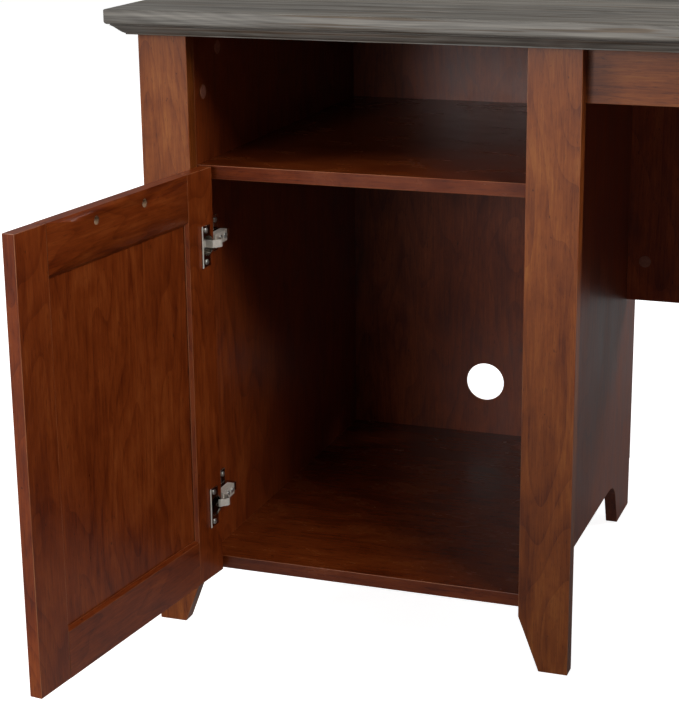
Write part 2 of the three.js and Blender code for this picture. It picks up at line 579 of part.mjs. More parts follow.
// The mounting plate is a cross: a foot with two screw wings and a block for the arm.
function mountingPlate(z) {
  const { y, wing, block, armScrew } = MOUNTING;
  const wings = box([wall, wall + wing.thickness], [y - wing.width / 2, y + wing.width / 2],
    [z - wing.half, z + wing.half]);
  const saddle = box([wall, wall + block.height], [y - block.ahead, y + block.behind],
    [z - block.half, z + block.half]);
  const screwHoles = [-wing.screw, wing.screw].map((dz) => (
    rod('x', [wall - 1, wall + wing.thickness + PAST], { x: 0, y, z: z + dz }, wing.screwRadius, 8)));
  const armScrewHole = rod('x', [wall + block.height - 9, wall + block.height + 1],
    { x: 0, y: y - armScrew, z }, 2.1, 10);
  return cut(joined(wings, saddle), [...screwHoles, armScrewHole]);
}

for (const [which, z] of Object.entries(HINGE_HEIGHTS)) {
  const pinSpan = [z - HINGE_PIN_HALF, z + HINGE_PIN_HALF];
  const pin = rod('z', pinSpan, { ...HINGE_PIN, z }, HINGE_PIN_RADIUS, 14);
  place(`hinge_cup_${which}`, hingeCup(z), nickel, door);
  place(`hinge_pin_${which}`, pin, zinc, door);
  place(`hinge_arm_${which}`, hingeArm(z), nickel);
  place(`hinge_plate_${which}`, mountingPlate(z), nickel);
}

export default desk;
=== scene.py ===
import json
import math

import bmesh
import bpy
from mathutils import Matrix, Vector


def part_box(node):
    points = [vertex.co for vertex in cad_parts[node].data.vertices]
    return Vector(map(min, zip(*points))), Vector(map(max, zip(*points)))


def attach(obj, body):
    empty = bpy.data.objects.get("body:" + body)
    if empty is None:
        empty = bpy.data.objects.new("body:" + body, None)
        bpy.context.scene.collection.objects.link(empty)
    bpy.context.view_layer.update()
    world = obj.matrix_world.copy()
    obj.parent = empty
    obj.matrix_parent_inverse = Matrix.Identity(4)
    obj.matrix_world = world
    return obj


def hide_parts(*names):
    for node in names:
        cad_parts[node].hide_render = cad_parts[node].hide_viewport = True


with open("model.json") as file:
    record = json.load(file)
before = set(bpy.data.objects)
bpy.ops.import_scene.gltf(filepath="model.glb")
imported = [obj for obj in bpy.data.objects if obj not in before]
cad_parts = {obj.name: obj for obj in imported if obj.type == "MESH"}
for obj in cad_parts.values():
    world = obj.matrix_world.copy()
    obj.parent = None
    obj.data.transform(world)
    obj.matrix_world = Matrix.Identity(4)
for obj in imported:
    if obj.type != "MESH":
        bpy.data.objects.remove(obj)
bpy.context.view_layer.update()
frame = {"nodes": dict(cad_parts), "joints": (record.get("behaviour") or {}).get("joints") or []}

# ---- Camera and studio ---------------------------------------------------------------
# A long lens stands in front of the pedestal, a little to its right and above the top,
# and looks left and down past the open door. The studio is a white paper floor and soft
# lights: one on each side, a wide one and a small one in front, and two behind.
pedestal_corner = Vector(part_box("front_post_left")[0])
EYE_FROM_CORNER = Vector((0.9583, -1.9713, 0.9860))
LOOK_LEFT, LOOK_DOWN, LEAN = 0.3478, 0.2851, 0.0109
FOCAL_LENGTH, SENSOR_WIDTH = 96.03, 36.0
lens = bpy.data.cameras.new("desk_camera")
lens.lens, lens.sensor_width, lens.clip_end = FOCAL_LENGTH, SENSOR_WIDTH, 60.0
camera = bpy.data.objects.new("desk_camera", lens)
camera.matrix_world = (Matrix.Translation(pedestal_corner + EYE_FROM_CORNER)
                       @ Matrix.Rotation(LOOK_LEFT, 4, "Z")
                       @ Matrix.Rotation(math.pi / 2 - LOOK_DOWN, 4, "X")
                       @ Matrix.Rotation(-LEAN, 4, "Z"))
bpy.context.scene.collection.objects.link(camera)
bpy.context.scene.camera = camera
bpy.context.scene.view_settings.view_transform = "Standard"
bpy.context.scene.view_settings.look = "None"


class Finish:
    """A material's node tree, with short ways to add and join its nodes."""

    def __init__(self, name):
        self.material = bpy.data.materials.new(name)
        self.material.use_nodes = True
        self.tree = self.material.node_tree
        self.shader = self.tree.nodes["Principled BSDF"]

    def node(self, kind, inputs=(), **settings):
        made = self.tree.nodes.new(kind)
        for key, value in settings.items():
            setattr(made, key, value)
        for key, value in dict(inputs).items():
            self.feed(made.inputs[key], value)
        return made

    def feed(self, socket, value):
        if isinstance(value, bpy.types.NodeSocket):
            self.tree.links.new(value, socket)
        else:
            socket.default_value = value

    def noise(self, place, scale, detail=3.0, rough=0.55, bend=0.0):
        return self.node("ShaderNodeTexNoise", {"Vector": place, "Scale": scale, "Detail": detail,
                                                "Roughness": rough, "Distortion": bend}).outputs["Fac"]

    def sum(self, *terms):
        total = terms[0]
        for term in terms[1:]:
            total = self.math("ADD", total, term)
        return total

    def math(self, operation, a, b=0.0):
        return self.node("ShaderNodeMath", {0: a, 1: b}, operation=operation).outputs[0]

    def band(self, value, low, high, to_low=0.0, to_high=1.0):
        return self.node("ShaderNodeMapRange", {"Value": value, "From Min": low, "From Max": high,
                                                "To Min": to_low, "To Max": to_high}).outputs[0]

    def ramp(self, value, stops):
        made = self.node("ShaderNodeValToRGB", {"Fac": value})
        while len(made.color_ramp.elements) < len(stops):
            made.color_ramp.elements.new(0.5)
        for element, (position, color) in zip(made.color_ramp.elements, stops):
            element.position = position
            element.color = (*color, 1.0)
        return made.outputs["Color"]

    def darken(self, color, amount, tint):
        return self.node("ShaderNodeMix", {0: amount, 6: color, 7: (*tint, 1.0)},
                         data_type="RGBA", blend_type="MULTIPLY").outputs[2]

    def bump(self, height, depth, strength=1.0):
        made = self.node("ShaderNodeBump", {"Height": height, "Distance": depth, "Strength": strength})
        self.feed(self.shader.inputs["Normal"], made.outputs["Normal"])

    def grain_place(self, along, shift=0.0):
        """Coordinates whose Z runs along the grain, in metres."""
        turn = Vector(along).rotation_difference(Vector((0, 0, 1))).to_euler()
        where = self.node("ShaderNodeTexCoord").outputs["Object"]
        return self.node("ShaderNodeMapping", {"Vector": where, "Rotation": turn,
                                               "Location": (shift, shift * 1.7, shift * 0.6)}).outputs[0]

    def stretch(self, place, across, along):
        return self.node("ShaderNodeMapping", {"Vector": place,
                                               "Scale": (across, across, along)}).outputs[0]


def mesh_piece(name, shape, finishes, smooth=False):
    """Turns a bmesh into an object; finishes are its materials."""
    bmesh.ops.recalc_face_normals(shape, faces=shape.faces)
    data = bpy.data.meshes.new(name)
    shape.to_mesh(data)
    shape.free()
    for face in data.polygons:
        face.use_smooth = smooth
    if smooth:
        data.set_sharp_from_angle(angle=math.radians(35))
    for finish in finishes:
        data.materials.append(finish)
    piece = bpy.data.objects.new(name, data)
    bpy.context.scene.collection.objects.link(piece)
    return piece


def paper_sheet(name, white, glow, seen_directly):
    """Studio paper: the camera sees a glowing white sheet, and gloss a plainer one."""
    pale = Finish(name)
    paper = pale.noise(pale.node("ShaderNodeTexCoord").outputs["Object"], 900.0)
    pale.feed(pale.shader.inputs["Base Color"],
              pale.ramp(paper, [(0.0, (0.96 * white,) * 3), (1.0, (white,) * 3)]))
    pale.shader.inputs["Roughness"].default_value = 0.9
    pale.shader.inputs["Specular IOR Level"].default_value = 0.1
    pale.shader.inputs["Emission Color"].default_value = (1, 1, 1, 1)
    pale.shader.inputs["Emission Strength"].default_value = glow
    sheet = bmesh.new()
    bmesh.ops.create_grid(sheet, x_segments=8, y_segments=8, size=24.0)
    floor = mesh_piece(name, sheet, [pale.material])
    floor.location.z = -0.0005 if seen_directly else -0.0010
    floor.visible_camera = seen_directly
    floor.visible_glossy = not seen_directly
    floor.visible_diffuse = False
    floor.visible_shadow = False


def soft_light(name, place, target, size, power):
    """A round area light at a place, turned to face the target."""
    lamp = bpy.data.lights.new(name, "AREA")
    lamp.shape, lamp.size, lamp.energy = "DISK", size, power
    light = bpy.data.objects.new(name, lamp)
    light.location = place
    light.rotation_euler = (target - place).to_track_quat("-Z", "Y").to_euler()
    bpy.context.scene.collection.objects.link(light)


paper_sheet("studio_floor", 0.94, 0.90, seen_directly=True)
paper_sheet("studio_floor_in_gloss", 0.34, 0.06, seen_directly=False)
sky = bpy.data.worlds.new("studio_white")
sky.use_nodes = True
sky_white = sky.node_tree.nodes["Background"]
sky_white.inputs["Color"].default_value = (1, 1, 1, 1)
sky_white.inputs["Strength"].default_value = 0.10
bpy.context.scene.world = sky
desk_middle = pedestal_corner + Vector((0.35, 0.1, 0.4))
LIGHTS = [  # name, place from the pedestal's corner, size, power
    ("front_softbox", (-0.37, -2.35, 1.083), 0.35, 7.0),
    ("wide_front_light", (-0.6, -4.2, 1.3), 1.8, 34.0),
    ("left_light", (-2.6, -1.9, 1.6), 1.4, 54.0),
    ("right_light", (2.2, -0.9, 2.3), 1.3, 44.0),
    ("rear_light_left", (-3.2, 2.6, 2.4), 1.6, 60.0),
    ("rear_light_right", (4.4, 2.6, 2.4), 1.6, 60.0),
]
for name, place, size, power in LIGHTS:
    soft_light(name, pedestal_corner + Vector(place), desk_middle, size, power)

# ---- Side panels ---------------------------------------------------------------------
# Two side panels carry the pedestal and a third stands at the far right of the desk.
# They are 16 mm boards in cherry laminate, grain upright, with a cut-out rear foot.
UPRIGHT, SIDEWAYS, FORWARDS = (0, 0, 1), (1, 0, 0), (0, 1, 0)
CHERRY_DARK, CHERRY_DEEP = (0.045, 0.0055, 0.0012), (0.120, 0.0190, 0.0032)
CHERRY_MID, CHERRY_PALE = (0.215, 0.0410, 0.0068), (0.345, 0.0880, 0.0180)
REDDISH, TAWNY = (1.0, 0.92, 0.85), (1.08, 1.36, 1.25)
# Of the four tints, the last two are painted light: the third darkens the cabinet's inner boards as
# painted shade, the fourth lightens the modesty panel.
PAINTED_SHADE_TINT, PAINTED_LIGHT_TINT = (0.74, 0.68, 0.64), (1.8, 1.6, 1.4)
BOARD_ARRIS = 0.0008


def cherry_laminate(name, along, shift, tint=REDDISH, polish=0.34, figure=1.0):
    """Printed cherry: cloudy flame figure, faint rings, fibres, pores and gum flecks."""
    wood = Finish(name)
    place = wood.grain_place(along, shift)
    wander = wood.noise(wood.stretch(place, 8.0, 1.5), 1.0, 2.0, 0.4, 0.25)
    ring = wood.math("FRACT", wood.math("MULTIPLY", wander, 24.0))
    ring_line = wood.math("POWER", ring, 4.0)
    cloud = wood.noise(wood.stretch(place, 24.0, 11.0), 1.0, 5.0, 0.62, 0.5)
    streak = wood.noise(wood.stretch(place, 150.0, 11.0), 1.0, 3.0, 0.6)
    fibre = wood.noise(wood.stretch(place, 520.0, 24.0), 1.0, 2.0, 0.6)
    pores = wood.noise(wood.stretch(place, 900.0, 90.0), 1.0, 1.0)
    gum = wood.noise(wood.stretch(place, 230.0, 110.0), 1.0, 1.0, 0.5, 0.3)
    value = wood.sum(wood.math("MULTIPLY", ring_line, -0.17 * figure),
                     wood.band(streak, 0.3, 0.7, -0.09, 0.09),
                     wood.band(fibre, 0.3, 0.7, -0.10, 0.10),
                     wood.band(cloud, 0.3, 0.7, 0.41, 0.79))
    stops = [(0.0, CHERRY_DARK), (0.34, CHERRY_DEEP), (0.62, CHERRY_MID), (1.0, CHERRY_PALE)]
    color = wood.ramp(value, [(at, tuple(t * c for t, c in zip(tint, rgb))) for at, rgb in stops])
    color = wood.darken(color, wood.band(gum, 0.74, 0.80, 0.0, 0.8), (0.34, 0.26, 0.24))
    color = wood.darken(color, wood.band(pores, 0.60, 0.72, 0.0, 0.6), (0.42, 0.32, 0.30))
    wood.feed(wood.shader.inputs["Base Color"], color)
    wood.feed(wood.shader.inputs["Roughness"], wood.band(cloud, 0.25, 0.75, polish - 0.03, polish + 0.06))
    wood.shader.inputs["Specular IOR Level"].default_value = 0.45
    wood.bump(wood.sum(fibre, wood.math("MULTIPLY", pores, 0.5)), 0.00009, 0.45)
    return wood.material


def arris_wear_and_painted_highlight(name, along, shift):
    """Where the laminate folds over an edge it is a paler brown: partly rubbed-through wear, partly a
    painted highlight along the edge.
    """
    edge = Finish(name)
    place = edge.grain_place(along, shift)
    wear_and_highlight_mottle = edge.noise(edge.stretch(place, 90.0, 12.0), 1.0, 4.0, 0.6)
    edge.feed(edge.shader.inputs["Base Color"],
              edge.ramp(wear_and_highlight_mottle, [(0.35, CHERRY_MID), (0.75, (0.40, 0.165, 0.070))]))
    edge.feed(edge.shader.inputs["Roughness"], edge.band(wear_and_highlight_mottle, 0.3, 0.7, 0.34, 0.52))
    edge.bump(wear_and_highlight_mottle, 0.0001, 0.5)
    return edge.material


def dress(node, face, arris, radius=BOARD_ARRIS):
    """Gives a piece its face and arris finishes and rounds its sharp edges a little."""
    board = frame["nodes"][node]
    board.data.materials.clear()
    board.data.materials.append(face)
    board.data.materials.append(arris)
    weld = board.modifiers.new("closed_corners", "WELD")
    weld.merge_threshold = 0.00001
    flat = board.modifiers.new("whole_faces", "DECIMATE")
    flat.decimate_type, flat.angle_limit = "DISSOLVE", math.radians(0.5)
    round_over = board.modifiers.new("arris", "BEVEL")
    round_over.width, round_over.segments = radius, 2
    round_over.limit_method, round_over.angle_limit = "ANGLE", math.radians(38)
    round_over.use_clamp_overlap = True
    round_over.material = 1


upright_arris = arris_wear_and_painted_highlight("cherry_arris_upright", UPRIGHT, 0.3)
for count, node in enumerate(["pedestal_side_left", "pedestal_side_right", "corner_side_panel"]):
    face = cherry_laminate(f"cherry_{node}", UPRIGHT, 1.3 + 2.1 * count)
    dress(node, face, upright_arris)

# ---- Posts ---------------------------------------------------------------------------
# Flat 20 mm boards stand in front of the side panels and at the end of the return.
# Each tapers to a foot; the laminate wraps its long edges and is paler there, partly from wear and partly
# as a painted highlight.
POST_ARRIS = 0.0011
for count, node in enumerate(["front_post_left", "front_post_right", "corner_post",
                              "return_post_left", "return_post_right"]):
    face = cherry_laminate(f"cherry_{node}", UPRIGHT, 0.45 + 1.37 * count, TAWNY)
    dress(node, face, upright_arris, POST_ARRIS)

# ---- Cabinet bottom and fixed shelf --------------------------------------------------
# Two 16 mm boards between the side panels. The faces are polished cherry laminate and
# the front edges carry a glued strip whose grain runs along the board.
sideways_arris = arris_wear_and_painted_highlight("cherry_arris_sideways", SIDEWAYS, 0.7)
# Their faces are tinted darker as painted shade, where the inside of the cabinet is in shade.
for count, node in enumerate(["bottom_panel", "fixed_shelf"]):
    face = cherry_laminate(f"cherry_{node}", SIDEWAYS, 3.3 + 1.9 * count, PAINTED_SHADE_TINT, 0.24, figure=0.3)
    dress(node, face, sideways_arris)

# ---- Back board ----------------------------------------------------------------------
# A 3 mm printed hardboard sheet nailed on the rear edges, with a round hole for leads.
# Its face is the same cherry print as the boards, a little smoother.
back_face = cherry_laminate("cherry_back_board", UPRIGHT, 8.2, REDDISH, 0.32)
dress("pedestal_back", back_face, upright_arris, radius=0.0003)

# ---- Rails and modesty panels --------------------------------------------------------
# The aprons under both tops have their grain lengthways; the modesty panels and the
# return's end panel have it upright. All are 16 mm cherry laminate boards.
for count, (node, along) in enumerate([("kneehole_rail", SIDEWAYS), ("return_rail", FORWARDS),
                                       ("modesty_panel", UPRIGHT), ("return_modesty_panel", UPRIGHT),
                                       ("return_end_panel", UPRIGHT)]):
    # The kneehole's modesty panel gets a tint that makes it much lighter: painted light in place of light
    # that the lamps don't bring there.
    tint = TAWNY if along == SIDEWAYS else PAINTED_LIGHT_TINT if node == "modesty_panel" else REDDISH
    face = cherry_laminate(f"cherry_{node}", along, 11.5 + 1.61 * count, tint)
    dress(node, face, sideways_arris if along == SIDEWAYS else upright_arris)

# ---- Tops ----------------------------------------------------------------------------
# Both tops are 30 mm boards in grey-brown driftwood laminate, wrapped over a moulded
# edge of a bead, a quirk and an ogee. The return's top butts against the main one.
DRIFT_DARK, DRIFT_DEEP = (0.030, 0.0240, 0.0185), (0.100, 0.0900, 0.0770)
DRIFT_MID, DRIFT_PALE = (0.200, 0.1860, 0.1640), (0.370, 0.3400, 0.2960)


def driftwood_laminate(name, along, shift):
    """Weathered oak print: long grey and brown streaks, open fibres and a dull wash."""
    wood = Finish(name)
    place = wood.grain_place(along, shift)
    wander = wood.noise(wood.stretch(place, 13.0, 1.2), 1.0, 2.0, 0.5, 0.5)
    ring = wood.math("SINE", wood.math("MULTIPLY", wander, 130.0))
    streak = wood.noise(wood.stretch(place, 150.0, 3.0), 1.0, 4.0, 0.62)
    split = wood.noise(wood.stretch(place, 260.0, 5.0), 1.0, 2.0, 0.5, 0.3)
    fibre = wood.noise(wood.stretch(place, 900.0, 16.0), 1.0, 3.0, 0.6)
    wash = wood.noise(wood.stretch(place, 15.0, 2.4), 1.0, 3.0, 0.5)
    value = wood.sum(wood.math("MULTIPLY", ring, 0.05),
                     wood.band(streak, 0.3, 0.7, -0.26, 0.26),
                     wood.band(fibre, 0.3, 0.7, -0.12, 0.12),
                     wood.band(wash, 0.3, 0.7, 0.44, 0.74))
    color = wood.ramp(value, [(0.0, DRIFT_DARK), (0.35, DRIFT_DEEP), (0.62, DRIFT_MID), (1.0, DRIFT_PALE)])
    color = wood.darken(color, wood.band(split, 0.54, 0.62, 0.0, 0.85), (0.55, 0.42, 0.31))
    wood.feed(wood.shader.inputs["Base Color"], color)
    wood.feed(wood.shader.inputs["Roughness"], wood.band(fibre, 0.3, 0.7, 0.40, 0.55))
    wood.shader.inputs["Specular IOR Level"].default_value = 0.45
    wood.bump(wood.sum(streak, wood.math("MULTIPLY", fibre, 0.7)), 0.00022, 0.6)
    return wood.material


for node, along, shift in [("main_top", SIDEWAYS, 2.2), ("return_top", FORWARDS, 5.1)]:
    face = driftwood_laminate(f"driftwood_{node}", along, shift)
    dress(node, face, face, radius=0.00015)

# ---- Door ----------------------------------------------------------------------------
# A framed door: two stiles, two rails coped over their bevel, and a thin panel held in
# a groove. It stands open by the whole swing of its hinges, so its grain turns with it.
pin_low, pin_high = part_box("hinge_pin_upper")
pin = (pin_low + pin_high) / 2
open_angle = math.radians(frame["joints"][0]["range_deg"][0])
across_door = Vector((math.cos(open_angle), math.sin(open_angle), 0))
for count, (node, along) in enumerate([("door_stile_hinge", UPRIGHT), ("door_stile_free", UPRIGHT),
                                       ("door_rail_top", across_door),
                                       ("door_rail_bottom", across_door), ("door_panel", UPRIGHT)]):
    face = cherry_laminate(f"cherry_{node}", along, 21.3 + 1.13 * count, REDDISH, 0.30)
    dress(node, face, upright_arris)

# ---- Handle's counterbores -----------------------------------------------------------
# The two holes behind the handle are counterbored, and show the dull raw fibreboard
# under the laminate: a thin lining on the wall and floor of each.
HINGE_EDGE_TO_PIN, FACE_TO_PIN = 0.0067, 0.0068
DOOR_THICKNESS = 0.015


def on_door(along, depth, height):
    """A place on the door, from its hinge edge, from its front face and upwards, turned
    open with it. Its X runs along the door, Y down, and Z out of the inner face."""
    shut = Matrix.Translation((along - HINGE_EDGE_TO_PIN, depth - FACE_TO_PIN, height))
    upright_pin = Matrix.Translation((pin.x, pin.y, 0))
    inner_face = Matrix.Rotation(-math.pi / 2, 4, "X")
    return upright_pin @ Matrix.Rotation(open_angle, 4, "Z") @ shut @ inner_face


def turn_angles(steps):
    return [2 * math.pi * i / steps for i in range(steps)]


def add_lathe(shape, profile, steps, place):
    """Adds a closed body turned about Z; the profile ends on the axis or meets itself."""
    rings = []
    for radius, height in profile:
        points = [Vector((radius * math.cos(a), radius * math.sin(a), height))
                  for a in (turn_angles(steps) if radius else [0.0])]
        rings.append([shape.verts.new(place @ point) for point in points])
    pairs = list(zip(rings, rings[1:]))
    if profile[0][0]:
        pairs.append((rings[-1], rings[0]))
    for ring, following in pairs:
        for i in range(steps):
            corners = [ring[i % len(ring)], ring[(i + 1) % steps % len(ring)],
                       following[(i + 1) % steps % len(following)], following[i % len(following)]]
            shape.faces.new(list(dict.fromkeys(corners)))


def raw_board():
    """Fibreboard without its laminate: pale, dull and slightly fuzzy."""
    board = Finish("raw_fibreboard")
    fuzz = board.noise(board.node("ShaderNodeTexCoord").outputs["Object"], 1400.0, 4.0, 0.65)
    board.feed(board.shader.inputs["Base Color"],
               board.ramp(fuzz, [(0.3, (0.34, 0.190, 0.105)), (0.7, (0.54, 0.350, 0.215))]))
    board.feed(board.shader.inputs["Roughness"], board.band(fuzz, 0.3, 0.7, 0.8, 0.95))
    board.bump(fuzz, 0.0003, 0.8)
    return board.material


raw = raw_board()
COUNTERBORE, SCREW_HOLE, LINING, SINK = 0.0049, 0.0029, 0.0003, 0.0069
RIM_BELOW_FACE = -0.00005
screw_middles = [sum(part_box(node), Vector()) / 2 for node in ["handle_screw_1", "handle_screw_2"]]
screws_along = [(middle - pin).dot(across_door) + HINGE_EDGE_TO_PIN for middle in screw_middles]
screws_height = screw_middles[0].z
for count, along in enumerate(screws_along):
    lining = bmesh.new()
    inner = COUNTERBORE - LINING
    profile = [(COUNTERBORE, -SINK), (COUNTERBORE, RIM_BELOW_FACE), (inner, RIM_BELOW_FACE),
               (inner, LINING - SINK), (SCREW_HOLE, LINING - SINK), (SCREW_HOLE, -SINK)]
    add_lathe(lining, profile, 32, on_door(along, DOOR_THICKNESS, screws_height))
    piece = mesh_piece(f"counterbore_lining_{count + 1}", lining, [raw], smooth=True)
    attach(piece, "door")

# ---- Handle --------------------------------------------------------------------------
# A bowed nickel-plated bar cast in one with its two curved feet, on the door's front. Two
# screws from behind hold it. The bar hangs a little below them and thins to its ends.
HANDLE_CENTRES, BAR_OVERRUN, BAR_REACH, BAR_BOW = 0.096, 0.0120, 0.0210, 0.0040
BAR_HALF_DEPTH, BAR_HALF_HEIGHT, BAR_SAG = 0.0040, 0.0050, 0.0080
FOOT_BEND, FOOT_SEAT, FOOT_RADIUS, FOOT_FLARE = 0.0140, 0.0003, 0.0036, 0.0020


def plated(name, tint, polish, metallic=1.0):
    """Plated metal: a faintly uneven film with very fine scuffs."""
    metal = Finish(name)
    place = metal.node("ShaderNodeTexCoord").outputs["Object"]
    film = metal.noise(place, 420.0, 3.0)
    scuff = metal.noise(place, 2600.0, 2.0)
    shade = tuple(0.86 * c for c in tint)
    metal.feed(metal.shader.inputs["Base Color"], metal.ramp(film, [(0.3, shade), (0.7, tint)]))
    metal.feed(metal.shader.inputs["Roughness"], metal.band(film, 0.3, 0.7, polish, polish + 0.10))
    metal.shader.inputs["Metallic"].default_value = metallic
    metal.bump(scuff, 0.000004, 0.2)
    return metal.material


def add_tube(shape, rings):
    """Joins rings of points, all of one length, into a closed tube."""
    made = [[shape.verts.new(point) for point in ring] for ring in rings]
    for ring, following in zip(made, made[1:]):
        for k in range(len(ring)):
            j = (k + 1) % len(ring)
            shape.faces.new([ring[k], ring[j], following[j], following[k]])
    shape.faces.new(made[0])
    shape.faces.new(made[-1])


def bar_rings(place, half_length, steps=56, sides=28):
    """Oval rings along the bowed bar, closer together and smaller near its ends."""
    for i in range(steps + 1):
        t = -math.cos(math.pi * i / steps)
        taper = math.sqrt(max(1 - t ** 6, 0.0004)) * (0.80 + 0.20 * (1 - t * t))
        out = BAR_REACH + BAR_BOW * (1 - t * t)
        yield [place @ Vector((half_length * t, BAR_SAG + BAR_HALF_HEIGHT * taper * math.sin(a),
                               BAR_HALF_DEPTH * taper * math.cos(a) - out))
               for a in turn_angles(sides)]


def foot_rings(place, steps=24, sides=24):
    """Round rings along a foot that leaves the door square and bends down to the bar."""
    for i in range(steps + 1):
        t = i / steps
        out = (FOOT_SEAT + 2 * t * (1 - t) * (FOOT_BEND - FOOT_SEAT)
               + t * t * (BAR_REACH - FOOT_SEAT))
        slope_down = 2 * t * BAR_SAG
        slope_out = 2 * (1 - t) * FOOT_BEND + 2 * t * (BAR_REACH - FOOT_BEND)
        aside = Vector((0, slope_out, slope_down)).normalized()
        radius = FOOT_RADIUS + FOOT_FLARE * (1 - t) ** 6
        middle = Vector((0, BAR_SAG * t * t, -out))
        yield [place @ (middle + radius * (Vector((math.cos(a), 0, 0)) + math.sin(a) * aside))
               for a in turn_angles(sides)]


nickel = plated("nickel_plate", (0.82, 0.79, 0.73), 0.22)
zinc = plated("zinc_plate", (0.66, 0.66, 0.64), 0.30)
handle_middle = sum(screws_along) / 2
pull = bmesh.new()
add_tube(pull, bar_rings(on_door(handle_middle, 0.0, screws_height), HANDLE_CENTRES / 2 + BAR_OVERRUN))
for along in screws_along:
    add_tube(pull, foot_rings(on_door(along, 0.0, screws_height)))
piece = mesh_piece("bowed_handle", pull, [nickel], smooth=True)
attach(piece, "door")
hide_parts("door_handle")

# ---- Screws --------------------------------------------------------------------------
# The handle's two screws are zinc plated, and so are the pan-head screws with a cross
# recess in the fittings. One head is made and set on each; the shanks hide in the wood.
for node in ("handle_screw_1", "handle_screw_2"):
    dress(node, zinc, zinc, radius=0.0002)


def screw_head_mesh(radius=0.0034, height=0.0019):
    """A domed head with a cross cut into it."""
    head = bmesh.new()
    dome = [(radius * math.cos(a), height * (0.35 + 0.65 * math.sin(a)))
            for a in [math.radians(6 * i) for i in range(15)]]
    add_lathe(head, [(0.0, 0.0), (radius, 0.0), *dome, (0.0, height)], 24, Matrix())
    cross = bmesh.new()
    bar = (Matrix.Translation((0, 0, height))
           @ Matrix.Diagonal((1.25 * radius, 0.30 * radius, height, 1)))
    for turn in (0, math.pi / 2):
        bmesh.ops.create_cube(cross, size=1.0, matrix=Matrix.Rotation(turn, 4, "Z") @ bar)
    plain = mesh_piece("plain_head", head, [], smooth=True)
    cutter = mesh_piece("cross_cutter", cross, [])
    recess = plain.modifiers.new("recess", "BOOLEAN")
    recess.operation, recess.object, recess.use_self = "DIFFERENCE", cutter, True
    evaluated = plain.evaluated_get(bpy.context.evaluated_depsgraph_get())
    made = bpy.data.meshes.new_from_object(evaluated)
    for scrap in (plain, cutter):
        bpy.data.objects.remove(scrap)
    return made


screw_head = screw_head_mesh()


def facing(place, outward):
    """A frame at a place whose Z points outward."""
    turn = Vector(outward).to_track_quat("Z", "Y").to_matrix().to_4x4()
    return Matrix.Translation(place) @ turn


def screws(name, body, places):
    """One piece with a screw head at each place, each turned a little differently."""
    heads = bmesh.new()
    for count, place in enumerate(places):
        before = len(heads.verts)
        heads.from_mesh(screw_head)
        heads.verts.ensure_lookup_table()
        spun = place @ Matrix.Rotation(0.7 * count + 0.3, 4, "Z")
        bmesh.ops.transform(heads, matrix=spun, verts=heads.verts[before:])
    piece = mesh_piece(name, heads, [zinc], smooth=True)
    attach(piece, body)


# ---- Concealed hinges ----------------------------------------------------------------
# Each has a pressed nickel cup let into the door, a cranked arm on a pin and a cross plate
# on the side panel. The flange has a rolled lip along its far edge. Two screws hold it,
# two more hold the plate, and two sit in the arm.
FLANGE_FACE, FLANGE_SCREW_ALONG, FLANGE_SCREW_SPREAD = 0.0165, 0.019, 0.019
LIP_ALONG, LIP_WIDTH, LIP_HEIGHT, LIP_RISE, LIP_SUNK = 0.0263, 0.0019, 0.0500, 0.0012, 0.0002
WING_THICKNESS, WING_BACK, PLATE_SCREW_SPREAD = 0.0025, 0.0080, 0.016
CHANNEL_FACE, CHANNEL_LENGTH, ARM_SCREW_BACK = 0.0190, 0.0360, (0.016, 0.029)
HINGE_ARRIS, WING_ARRIS, PIN_ARRIS = 0.0003, 0.0004, 0.0002
mirror_nickel = plated("mirror_nickel", (0.42, 0.38, 0.33), 0.12)
satin_nickel = plated("satin_nickel", (0.90, 0.84, 0.74), 0.46, metallic=0.45)


def flange_lip(which, height):
    """The half-round lip along the flange's far edge."""
    half_turn = [math.radians(15 * i) for i in range(13)]
    section = [Vector((LIP_WIDTH * (0.5 + 0.5 * math.cos(a)), 0, LIP_RISE * math.sin(a) - LIP_SUNK))
               for a in half_turn]
    ends = [on_door(LIP_ALONG, FLANGE_FACE, height + end * LIP_HEIGHT / 2) for end in (-1, 1)]
    lip = bmesh.new()
    add_tube(lip, [[end @ point for point in section] for end in ends])
    piece = mesh_piece(f"flange_lip_{which}", lip, [satin_nickel], smooth=True)
    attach(piece, "door")


for which in ("lower", "upper"):
    dress(f"hinge_cup_{which}", mirror_nickel, satin_nickel, HINGE_ARRIS)
    dress(f"hinge_plate_{which}", mirror_nickel, satin_nickel, WING_ARRIS)
    dress(f"hinge_arm_{which}", satin_nickel, satin_nickel, HINGE_ARRIS)
    dress(f"hinge_pin_{which}", zinc, zinc, PIN_ARRIS)
    pin_bottom, pin_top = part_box(f"hinge_pin_{which}")
    height = (pin_bottom.z + pin_top.z) / 2
    screws(f"flange_screws_{which}", "door",
           [on_door(FLANGE_SCREW_ALONG, FLANGE_FACE, height + side * FLANGE_SCREW_SPREAD)
            for side in (-1, 1)])
    flange_lip(which, height)
    plate_low, plate_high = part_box(f"hinge_plate_{which}")
    wing = Vector((plate_low.x + WING_THICKNESS, plate_high.y - WING_BACK, height))
    screws(f"plate_screws_{which}", "desk_frame",
           [facing(wing + Vector((0, 0, side * PLATE_SCREW_SPREAD)), (1, 0, 0)) for side in (-1, 1)])
    arm_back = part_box(f"hinge_arm_{which}")[1].y
    channel = Vector((plate_low.x + CHANNEL_FACE, arm_back - CHANNEL_LENGTH, height))
    screws(f"arm_screws_{which}", "desk_frame",
           [facing(channel + Vector((0, back, 0)), (1, 0, 0)) for back in ARM_SCREW_BACK])

